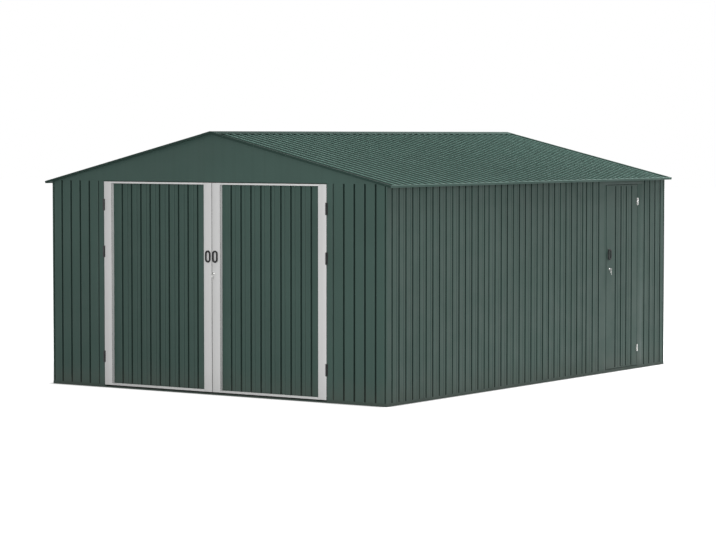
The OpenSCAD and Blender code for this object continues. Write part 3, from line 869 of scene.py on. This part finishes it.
@dataclass
class SoftenedNode:
    """A CAD node copied, merged and given fine rounded edges, as folded or cast parts have."""

    node: str
    edges: Edges = Edges.BEVELS
    radius: float = 0.0004
    segments: int = 2
    merge: float = 2e-5
    flat_angle: float = 0.5
    edge_angle: float = 35.0

    def build(self) -> Object:
        """Builds the softened copy.

        Returns:
            The piece that stands for the node.
        """
        shape = bmesh.new()
        shape.from_mesh(frame["nodes"][self.node].data)
        bmesh.ops.remove_doubles(shape, verts=shape.verts, dist=self.merge)
        bmesh.ops.dissolve_limit(shape, angle_limit=math.radians(self.flat_angle),
                                 verts=shape.verts, edges=shape.edges)
        name = f"{self.node}_soft"
        mesh = bpy.data.meshes.new(name)
        shape.to_mesh(mesh)
        shape.free()
        mesh.shade_smooth()
        slot = slot_of(self.node)
        mesh.materials.append(FINISHES.get(slot, self.edges))
        made = put(name, mesh)
        bevel = made.modifiers.new("edges", "BEVEL")
        bevel.width = self.radius
        bevel.segments = self.segments
        bevel.limit_method = "ANGLE"
        bevel.angle_limit = math.radians(self.edge_angle)
        bevel.harden_normals = True
        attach(made, body_of(self.node))
        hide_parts(self.node)
        log.info("%s: %d faces before its edges, on %s", name, len(mesh.polygons),
                 body_of(self.node))
        return made


@dataclass
class Ironwork:
    """Frames, trims, plates and hinges."""

    softened: tuple[str, ...] = (
        "left_leaf_stiles", "left_leaf_rails", "right_leaf_stiles", "right_leaf_rails",
        "front_gable", "rear_gable", "side_door_header", "side_door_posts", "eave_trims",
    )
    # The verge trims and ridge cap take the darker copy of the green, painted shade.
    shaded_trims: tuple[str, ...] = ("verge_trims", "ridge_cap")

    def build(self) -> None:
        """Builds the softened copies, and dresses every other CAD node that still shows."""
        for node in self.softened:
            SoftenedNode(node).build()
        for node in self.shaded_trims:
            SoftenedNode(node, Edges.SHADED_TRIM_BEVELS).build()
        for name, shown in frame["nodes"].items():
            if shown.hide_render:
                continue
            for place in shown.material_slots:
                place.material = FINISHES.get(slot_of(name))
            log.info("%s: CAD node dressed in %s", name, slot_of(name).value)


# ---- Screws ----


@dataclass(frozen=True)
class Turned:
    """A shape turned round its own axis, from a profile of (radius, height) rings."""

    profile: tuple[tuple[float, float], ...]
    sides: int = 8

    def shape(self) -> Shape:
        """Ring k is r_k·(cos a, sin a) at height h_k, closed by a point on top.

        Returns:
            Points with the axis along +z and the seat at z = 0, and faces wound outwards.
        """
        rings = np.array(self.profile[:-1])
        angle = turn_angles(self.sides)
        around = np.stack([np.cos(angle), np.sin(angle)], axis=1)
        points = np.concatenate([rings[:, None, :1] * around, np.broadcast_to(
            rings[:, None, 1:], (len(rings), self.sides, 1))], axis=2).reshape(-1, 3)
        top = np.array([[0, 0, self.profile[-1][1]]])
        foot = np.array([[0, 0, self.profile[0][1]]])
        faces = grid_faces(len(rings), self.sides).tolist()
        last, count = (len(rings) - 1) * self.sides, len(points)
        j = np.arange(self.sides)
        following = (j + 1) % self.sides
        caps = np.stack([last + j, last + following, np.full_like(j, count)], axis=1)
        under = np.stack([following, j, np.full_like(j, count + 1)], axis=1)
        return np.concatenate([points, top, foot]), faces + caps.tolist() + under.tolist()


WASHER_SCREW = Turned(((0.0068, -0.0002), (0.0068, 0.0009), (0.0044, 0.0014), (0.0042, 0.0034),
                       (0.0028, 0.0043), (0.0, 0.0045)))
PAN_SCREW = Turned(((0.0036, -0.0002), (0.0036, 0.0010), (0.0026, 0.0022), (0.0, 0.0025)))


@dataclass
class ScrewRow:
    """Many screws of one kind on one body."""

    name: str
    kind: Turned
    body: str
    slot: Slot
    places: list[tuple[Array, Array]] = field(default_factory=list)

    def add(self, face: Face, spots: Array, outward: Vector = (0, -1, 0)) -> None:
        """Adds screws.

        Args:
            face: The frame that the spots are in.
            spots: Points (u, d, w) of the seats.
            outward: The screws' direction in that frame.
        """
        spots = np.asarray(spots, float).reshape(-1, 3)
        direction = np.asarray(outward, float) @ face.axes()
        self.places.append((face.place(spots), np.broadcast_to(direction, spots.shape)))

    def build(self) -> Object:
        """Copies the shape to every spot: point = spot + x·s + y·t + z·n with n outward.

        Returns:
            The piece.
        """
        spots = np.concatenate([p for p, _ in self.places])
        n = np.concatenate([d for _, d in self.places])
        helper = np.where(np.abs(n[:, 2:]) < 0.9, [[0.0, 0.0, 1.0]], [[1.0, 0.0, 0.0]])
        s = unit(np.cross(helper, n))
        t = np.cross(n, s)
        shape, faces = self.kind.shape()
        points = spots[:, None] + shape @ np.stack([s, t, n], axis=1)
        starts = range(0, len(spots) * len(shape), len(shape))
        rows = [[start + number for number in face] for start in starts for face in faces]
        return make_piece(self.name, points.reshape(-1, 3), rows, self.body, self.slot, sharp=50.0)


def spread(low: float, high: float, pitch: float) -> Array:
    """Evenly spaced places from low to high, no further apart than the pitch."""
    return np.linspace(low, high, max(2, math.ceil((high - low) / pitch) + 1))


def at(u: object, d: object, w: object) -> Array:
    """Rows of (u, d, w) from values of which any may be an array."""
    return np.stack(np.broadcast_arrays(*np.atleast_1d(u, d, w)), axis=-1).astype(float)


@dataclass
class Fixings:
    """Screws of the walls, gables, trims and roof."""

    wide_land: float = 0.06
    lip_place: float = 0.015
    gable_pitch: float = 0.22
    gable_ends: float = 0.08
    gable_foot: float = 0.010
    gable_slope: tuple[float, float] = (0.10, 0.25)
    below_verge: float = 0.045
    verge_pitch: float = 0.36
    verge_ends: tuple[float, float] = (0.15, 0.06)
    eave_pitch: float = 0.54
    eave_ends: float = 0.1
    trim_depth: float = 0.010
    eave_step: float = 0.0011
    eave_purlin: float = 0.965
    purlin_half: float = 0.015
    pan_share: float = 0.25
    cap_place: float = 0.075

    def wall_screws(self, cladding: Cladding) -> None:
        """Pan-head screws in the groove floors at the rails, and on the base rail's lip.

        Args:
            cladding: The ribbed sheets.
        """
        row = ScrewRow("wall_screws", PAN_SCREW, "shell", Slot.GREEN_WALL)
        for sheet in cladding.sheets:
            if body_of(sheet.node) != "shell" or sheet.node.startswith("roof"):
                continue
            middles = sheet.grooves()
            lands = (middles[1:] + middles[:-1]) / 2
            wide = np.diff(middles) > self.wide_land
            row.add(sheet.face, at(middles[1::2], PLAN.groove_depth, PLAN.rail_mid))
            row.add(sheet.face, at(lands[wide][::2], -PLAN.base_lip, self.lip_place))
            if sheet.face in (LEFT, RIGHT, REAR):
                row.add(sheet.face, at(middles[1::2], PLAN.groove_depth, PLAN.rail_top))
        row.build()

    def gable_screws(self) -> None:
        """Pan-head screws along the foot of each gable plate and below its slopes."""
        row = ScrewRow("gable_screws", PAN_SCREW, "shell", Slot.GREEN_WALL)
        face_d = -PLAN.sheet
        foot_end = PLAN.half_width - self.gable_ends
        foot = spread(-foot_end, foot_end, self.gable_pitch)
        near, far = self.gable_slope
        slope = spread(near, PLAN.half_width - far, self.verge_pitch)
        rise = PLAN.apex - slope * math.tan(PLAN.slope) - self.below_verge
        for face in (FRONT, REAR):
            row.add(face, at(foot, face_d, PLAN.doorway_top + self.gable_foot))
            row.add(face, at(slope, face_d, rise))
            row.add(face, at(-slope, face_d, rise))
        row.build()

    def trim_screws(self) -> None:
        """Pan-head screws on the verge trims' legs and on the eave trims."""
        row = ScrewRow("trim_screws", PAN_SCREW, "shell", Slot.GREEN_ROOF)
        near, far = self.verge_ends
        along = spread(near, PLAN.slope_length - far, self.verge_pitch)
        outside = PLAN.roof_half + PLAN.sheet
        eave_end = PLAN.roof_half - self.eave_ends
        eave = spread(-eave_end, eave_end, self.eave_pitch)
        for face in (ROOF_LEFT, ROOF_RIGHT):
            for sign in (-1, 1):
                row.add(face, at(sign * outside, self.trim_depth, along), (sign, 0, 0))
            row.add(face, at(eave, self.trim_depth, PLAN.slope_length + self.eave_step), (0, 0, 1))
        row.build()

    def roof_screws(self, cladding: Cladding) -> None:
        """Washer screws through the pans into the purlins, and along the ridge cap's ribs.

        Args:
            cladding: The ribbed sheets.
        """
        row = ScrewRow("roof_screws", WASHER_SCREW, "shell", Slot.GREEN_ROOF)
        for sheet in cladding.sheets:
            if not sheet.node.startswith("roof"):
                continue
            ribs = sheet.grooves()
            pans = ribs[:-1] + self.pan_share * np.diff(ribs)
            for place in PLAN.purlin_places + (self.eave_purlin,):
                down = place * PLAN.slope_length + self.purlin_half
                row.add(sheet.face, at(pans[::2], PLAN.groove_depth, down))
            row.add(sheet.face, at(ribs[2:-1:2], -PLAN.cap_layer, self.cap_place))
        row.build()

    def build(self, cladding: Cladding) -> None:
        """Builds all the fixings.

        Args:
            cladding: The ribbed sheets.
        """
        self.wall_screws(cladding)
        self.gable_screws()
        self.trim_screws()
        self.roof_screws(cladding)


# ---- Pulls, locks and keys ----


def node_box(node: str, face: Face) -> tuple[Array, Array]:
    """The low and high corners of a CAD node in a face's frame."""
    points = face.local(node_points(node))
    return points.min(axis=0), points.max(axis=0)


def seated(shape: Array, node: str, face: Face) -> Array:
    """Puts a shape on a face in place of a CAD node.

    Args:
        shape: Points (x, y, z) with z out of the face, y up and z = 0 on the face.
        node: The CAD node, which stands on the face.
        face: The face's frame.

    Returns:
        The points in the row frame, about the node's middle.
    """
    low, high = node_box(node, face)
    across, _, up = (low + high) / 2
    return face.place(np.stack([across + shape[:, 0], high[1] - shape[:, 2], up + shape[:, 1]],
                               axis=1))


@dataclass
class RingPull:
    """A moulded ring pull on two feet, in place of the CAD one."""

    node: str
    face: Face
    bar: float = 0.014
    depth: float = 0.009
    foot_radius: float = 0.0042
    foot_flare: float = 0.0035

    def ring(self, width: float, height: float) -> Shape:
        """The ring: R·(cos a, sin a) about a centre at ±s, with a rounded bar carried round it.

        The bar's outline is (bar/2·c|c|^(-1/2), depth/2·s|s|^(-1/2)) with c = cos b, s = sin b.

        Args:
            width: Width of the ring over its bars.
            height: Height of the ring over its bars.

        Returns:
            Points (x, y, z) with z out of the leaf and the bar's middle at z = 0, and faces.
        """
        radius = (width - self.bar) / 2
        straight = (height - width) / 2
        half = np.linspace(0, np.pi, 15)
        a = np.concatenate([half, half + np.pi])
        lift = np.repeat([straight, -straight], len(half))
        b = turn_angles(16)
        c, s = np.cos(b), np.sin(b)
        out = self.bar / 2 * np.sign(c) * np.sqrt(np.abs(c))
        up = self.depth / 2 * np.sign(s) * np.sqrt(np.abs(s))
        reach = radius + out[None, :]
        x = np.cos(a)[:, None] * reach
        y = np.sin(a)[:, None] * reach + lift[:, None]
        z = np.broadcast_to(up[None, :], x.shape)
        points = np.stack([x, y, z], axis=-1).reshape(-1, 3)
        faces = grid_faces(len(a) + 1, len(b)) % len(points)
        return points, faces.tolist()

    def foot(self, height: float) -> Shape:
        """A foot whose radius is r + flare·(1 - h)³ for h from 0 to 1, with both ends closed.

        Args:
            height: Its height above the leaf.

        Returns:
            Points with the foot's axis along z, and faces.
        """
        h = np.linspace(0, 1, 7)
        rings = [(self.foot_radius + self.foot_flare * (1 - k) ** 3, k * height) for k in h]
        return Turned(tuple(rings) + ((0.0, height),), 16).shape()

    def build(self) -> Object:
        """Builds the pull about the middle of its CAD node."""
        low, high = node_box(self.node, self.face)
        width, reach, height = high - low
        ring, ring_faces = self.ring(width, height)
        ring[:, 2] += reach - self.depth / 2
        parts = [(ring, ring_faces)]
        for sign in (-1, 1):
            foot, foot_faces = self.foot(reach - self.depth / 2)
            foot[:, 1] += sign * (height - self.bar) / 2
            parts.append((foot, foot_faces))
        shape, faces = join_meshes(parts)
        made = make_piece(f"{self.node}_ring", seated(shape, self.node, self.face), faces,
                          body_of(self.node), Slot.BLACK_PULL, sharp=60.0)
        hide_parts(self.node)
        return made


@dataclass
class KeyedLock:
    """A round lock with its key in it, and a ring with a second key where it has one."""

    node: str
    face: Face
    rose_radius: float = 0.011
    plug_radius: float = 0.008
    bow_radius: float = 0.010
    ring_radius: float = 0.013
    ring_slack: float = 0.0015
    wire: float = 0.0009
    rim: float = 0.0006
    plug_height: float = 0.0070
    hole_radius: float = 0.0032
    hole_off: float = 0.0025
    half_thickness: float = 0.001
    blade_thickness: float = 0.0016
    blade_back: float = 0.0034
    blade_out: float = 0.010
    spare_blade: float = 0.024
    spare_tilt: float = 24.0
    second_key: bool = False

    def plate(self, outline: Array, thickness: float) -> Shape:
        """A flat plate: an outline closed into a prism, with rims drawn in by a fan to its middle.

        Args:
            outline: Points (x, y) wound anticlockwise.
            thickness: Thickness along z, about z = 0.

        Returns:
            Points and faces.
        """
        count = len(outline)
        middle = outline.mean(axis=0)
        inner = middle + 0.90 * (outline - middle)
        half = thickness / 2
        levels = [(inner, -half), (outline, -half * 0.55), (outline, half * 0.55), (inner, half)]
        points = np.concatenate([np.column_stack([o, np.full(count, z)]) for o, z in levels])
        faces = grid_faces(4, count).tolist()
        faces.append(list(range(count - 1, -1, -1)))
        faces.append(list(range(3 * count, 4 * count)))
        return points, faces

    def bow(self) -> Shape:
        """The key's bow: radius R·(1 + 0.06·cos 4a) round a hole, as a ring of rounded section.

        Returns:
            Points in the key's plane, and faces.
        """
        a = turn_angles(32)
        outer = self.bow_radius * (1 + 0.06 * np.cos(4 * a))
        inner, rim = np.full_like(a, self.hole_radius), outer - self.rim
        radii = np.stack([inner, rim, outer, outer, rim, inner], axis=1)
        z = np.array([1.0, 1.0, 0.6, -0.6, -1.0, -1.0]) * self.half_thickness
        centre = np.array([0.0, self.hole_off])
        shift = np.array([1, 0, 0, 0, 0, 1])[None, :, None] * centre
        flat = radii[..., None] * np.stack([np.cos(a), np.sin(a)], axis=1)[:, None] + shift
        points = np.concatenate([flat, np.broadcast_to(z[None, :, None], flat.shape[:2] + (1,))],
                                axis=2).reshape(-1, 3)
        faces = grid_faces(len(a) + 1, len(z))[:, ::-1] % len(points)
        return points, faces.tolist()

    def blade(self, length: float) -> Shape:
        """The key's blade with a stepped cut edge, running down from the bow.

        Args:
            length: Its length below the bow.

        Returns:
            Points in the key's plane, and faces.
        """
        steps = np.array([0.0, 0.3, 0.3, 0.5, 0.5, 0.7, 0.7, 0.9])
        cuts = np.array([0.0026, 0.0026, 0.0016, 0.0016, 0.0024, 0.0024, 0.0014, 0.0014])
        root = -self.bow_radius * 0.9
        low = np.column_stack([cuts, root - steps * length])
        tip = [[0.0, root - length]]
        back = [[-self.blade_back, root - 0.93 * length], [-self.blade_back, root]]
        return self.plate(np.concatenate([low, tip, back])[::-1], self.blade_thickness)

    def key(self, length: float) -> Shape:
        """A whole key in its own plane: bow about the origin, blade towards -y."""
        return join_meshes([self.bow(), self.blade(length)])

    def ring(self) -> Shape:
        """A wire ring: (R + r·cos b)·(cos a, sin a) with height r·sin b.

        Returns:
            Points about the ring's middle, and faces.
        """
        a, b = turn_angles(40)[:, None], turn_angles(8)[None, :]
        reach = self.ring_radius + self.wire * np.cos(b)
        z = (self.wire * np.sin(b)).repeat(len(a), axis=0)
        points = np.stack([np.cos(a) * reach, np.sin(a) * reach, z], axis=-1).reshape(-1, 3)
        faces = grid_faces(41, 8) % len(points)
        return points, faces.tolist()

    def build(self) -> Object:
        """Builds the lock about the axis of its CAD node.

        Returns:
            The piece with rose, plug, key, ring and any second key.
        """
        rose, plug, high = self.rose_radius, self.plug_radius, self.plug_height
        body = Turned(((rose, -0.0003), (rose, 0.0014), (rose - 0.0008, 0.0026),
                       (plug + 0.0008, 0.0032), (plug + 0.0003, 0.0060), (plug - 0.0012, high),
                       (plug - 0.0020, 0.0066), (0.0022, 0.0066), (0.0, 0.0066)), 28).shape()
        key, key_faces = self.key(self.blade_out)
        out = high + self.bow_radius
        key = np.column_stack([key[:, 2], key[:, 0], out + key[:, 1]])
        hang_out = out + self.hole_off
        ring, ring_faces = self.ring()
        ring += [0.0, self.ring_slack - self.ring_radius, hang_out]
        parts = [body, (key, key_faces), (ring, ring_faces)]
        if self.second_key:
            spare, spare_faces = self.key(self.spare_blade)
            tilt = math.radians(self.spare_tilt)
            turn = np.array([[math.cos(tilt), -math.sin(tilt)], [math.sin(tilt), math.cos(tilt)]])
            flat = (spare[:, :2] - [0.0, self.hole_off]) @ turn.T
            drop = self.ring_slack / 3 - 2 * self.ring_radius
            spare = np.column_stack([flat[:, 0], flat[:, 1] + drop, spare[:, 2] + hang_out])
            parts.append((spare, spare_faces))
        shape, faces = join_meshes(parts)
        made = make_piece(f"{self.node}_and_key", seated(shape, self.node, self.face), faces,
                          body_of(self.node), Slot.BRIGHT_STEEL, sharp=35.0)
        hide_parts(self.node)
        return made


@dataclass
class Hardware:
    """Ring pulls, locks and keys of the three doors."""

    def build(self) -> None:
        """Builds every pull and lock."""
        for node, face in (("left_leaf_handle", FRONT), ("right_leaf_handle", FRONT),
                           ("side_leaf_handle", RIGHT)):
            RingPull(node, face).build()
        KeyedLock("right_leaf_lock", FRONT, ring_radius=0.011, second_key=True).build()
        KeyedLock("side_leaf_lock", RIGHT, second_key=True).build()


# ---- Studio ----


@dataclass
class Studio:
    """White floor and background, soft lights and the camera."""

    floor_size: float = 160.0
    floor_colour: float = 0.36
    floor_glow: float = 0.95
    # Reach and steepness of the painted contact shadow in the floor's glow.
    contact: float = 0.09
    contact_shadow_power: float = 2.2
    sky: float = 0.33
    camera_place: Vector = (14.004, -20.653, 2.310)
    camera_yaw: float = 34.43
    camera_pitch: float = 2.99
    lens: float = 129.26

    def background_ray(self, wiring: Wiring) -> Socket:
        """1 for rays that should see the plain background: camera, mirror and glass rays.

        Args:
            wiring: The nodes that need it.

        Returns:
            The factor's socket.
        """
        path = wiring.node("ShaderNodeLightPath").outputs
        bent = wiring.math("MAXIMUM", path["Is Glossy Ray"], path["Is Transmission Ray"])
        return wiring.math("MAXIMUM", path["Is Camera Ray"], bent)

    def world(self) -> None:
        """A white background, and an even light of strength sky on the object."""
        world = bpy.data.worlds.new("studio")
        bpy.context.scene.world = world
        wiring = Wiring("studio", world)
        light, seen = (wiring.node("ShaderNodeBackground", Color=PURE_WHITE, Strength=power)
                       for power in (self.sky, 1.0))
        choose = wiring.node("ShaderNodeMixShader", None, self.background_ray(wiring),
                             light.outputs[0], seen.outputs[0])
        wiring.node("ShaderNodeOutputWorld", Surface=choose.outputs[0])

    def floor(self) -> Object:
        """A pale matt floor that takes the lamps' shadow, and glows for camera rays outside the
        walls; near the building the glow fades with ambient occlusion, a painted contact shadow.
        """
        half = self.floor_size / 2
        mesh = bpy.data.meshes.new("floor")
        mesh.from_pydata([(-half, -half, 0), (half, -half, 0), (half, half, 0), (-half, half, 0)],
                         [], [(0, 1, 2, 3)])
        wiring = Wiring("floor")
        tone = self.floor_colour
        matt = wiring.node("ShaderNodeBsdfDiffuse", Color=(tone, tone, tone, 1.0))
        # Painted contact shadow: the glow fades with ambient occlusion near the building's foot.
        contact_shadow_ao = wiring.node("ShaderNodeAmbientOcclusion", {"samples": 8},
                               Distance=self.contact).outputs["AO"]
        strength = wiring.times(self.background_ray(wiring), self.floor_glow)
        strength = wiring.times(strength, wiring.math("POWER", contact_shadow_ao, self.contact_shadow_power))
        place = wiring.node("ShaderNodeSeparateXYZ", Vector=wiring.coords).outputs
        past = [wiring.math("GREATER_THAN", wiring.math("ABSOLUTE", place[axis]), half_size)
                for axis, half_size in (("X", PLAN.half_width), ("Y", PLAN.half_length))]
        strength = wiring.times(strength, wiring.math("MAXIMUM", *past))
        glow = wiring.node("ShaderNodeEmission", Color=PURE_WHITE, Strength=strength)
        both = wiring.node("ShaderNodeAddShader", None, matt.outputs[0], glow.outputs[0])
        mesh.materials.append(wiring.finish(both.outputs[0]))
        made = put("floor", mesh)
        return made

    def softbox(self, name: str, place: Vector, target: Vector, size: float,
                power: float) -> Object:
        """A square area light.

        Args:
            name: The light's name.
            place: Where it stands.
            target: The point that it faces.
            size: Its side.
            power: Its power in watts.

        Returns:
            The light's object.
        """
        light = bpy.data.lights.new(name, "AREA")
        light.shape = "SQUARE"
        light.size = size
        light.energy = power
        made = put(name, light)
        made.location = place
        away = np.array(target, float) - np.array(place, float)
        flat = math.hypot(away[0], away[1])
        made.rotation_euler = (math.atan2(flat, -away[2]), 0.0, math.atan2(-away[0], away[1]))
        return made

    def camera(self) -> Object:
        """A long lens that looks down a little at the corner of the building."""
        data = bpy.data.cameras.new("camera")
        data.lens = self.lens
        data.sensor_width = 36.0
        data.clip_end = 400.0
        made = put("camera", data)
        made.location = self.camera_place
        made.rotation_euler = (math.radians(90 - self.camera_pitch), 0.0,
                               math.radians(self.camera_yaw))
        bpy.context.scene.camera = made
        return made

    def build(self) -> None:
        """Builds the studio."""
        bpy.context.scene.view_settings.view_transform = "Standard"
        self.world()
        self.floor()
        self.softbox("roof_light", (3.0, 7.5, 10.5), (0.5, 0, 2.0), 4.0, 2500.0)
        self.softbox("front_light", (6.5, -15.0, 3.0), (0.6, -2.5, 1.1), 3.0, 980.0)
        self.softbox("side_light", (13.0, 5.0, 1.4), (1.9, 0.0, 0.6), 3.0, 70.0)
        self.camera()


def main() -> None:
    """Builds the studio, then the pieces from the cladding to the hardware."""
    logging.basicConfig(level=logging.INFO, format="%(name)s %(message)s")
    Studio().build()
    cladding = Cladding()
    cladding.build()
    Hardware().build()
    Ironwork().build()
    Fixings().build(cladding)


if __name__ == "__main__":
    main()
